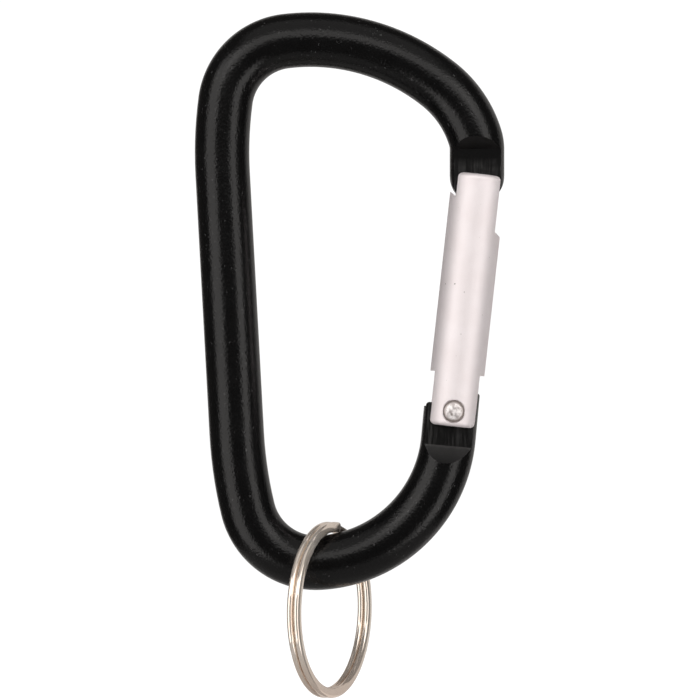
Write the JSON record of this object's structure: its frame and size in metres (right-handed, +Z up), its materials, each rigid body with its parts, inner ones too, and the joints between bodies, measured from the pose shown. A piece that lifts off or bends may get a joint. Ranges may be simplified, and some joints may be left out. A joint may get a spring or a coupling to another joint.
{
  "type": "carabiner keyring",
  "caption": "D-shaped carabiner keyring: a bent round rod with a sprung, hinged gate that nests on a milled nose, and a flat split ring hanging from its lower bend.",
  "frame": {"origin": "the highest point of the D's inner edge, where a belt loop or hook holds the carabiner up", "axes": "+Z up along the D's long side, from the split ring towards the top bend; +X across the D from the spine to the gate; +Y from the front face to the back, along the hinge's axis"},
  "size_m": [0.0431, 0.0226, 0.0954],
  "materials": {
    "black_anodised": "satin black anodised",
    "blasted_aluminium": "fine bead-blasted, matte silver",
    "spring_steel": "bright drawn wire",
    "polished_steel": "polished",
    "nickel_plate": "bright nickel plate with a warm cast"
  },
  "bodies": {
    "body": {"body": "black_anodised"},
    "gate": {"gate": "blasted_aluminium", "hinge_rivet": "polished_steel", "gate_spring": "spring_steel"},
    "plunger": {"spring_plunger": "polished_steel"},
    "ring": {"split_ring": "nickel_plate"}
  },
  "joints": [
    {"name": "gate_hinge", "type": "hinge", "parent": "body", "child": "gate", "pos_m": [0.01984, 0, -0.04787], "axis": [0, -1, 0], "range_deg": [0, 40], "stiffness_Nm_per_rad": 0.036, "springref_deg": -31.51},
    {"name": "plunger_slide", "type": "slide", "parent": "gate", "child": "plunger", "axis": [0.1103, 0, 0.9939], "range_m": [0, 0.0021], "deforming": ["gate_spring"]},
    {"name": "ring_swing", "type": "hinge", "parent": "body", "child": "ring", "pos_m": [0.00269, 0, -0.06884], "axis": [0.9917, 0, 0.1288], "range_deg": [-120, 120]}
  ],
  "couplings": [
    {"joint": "plunger_slide", "follows": "gate_hinge", "m_per_rad": 0.002965}
  ]
}
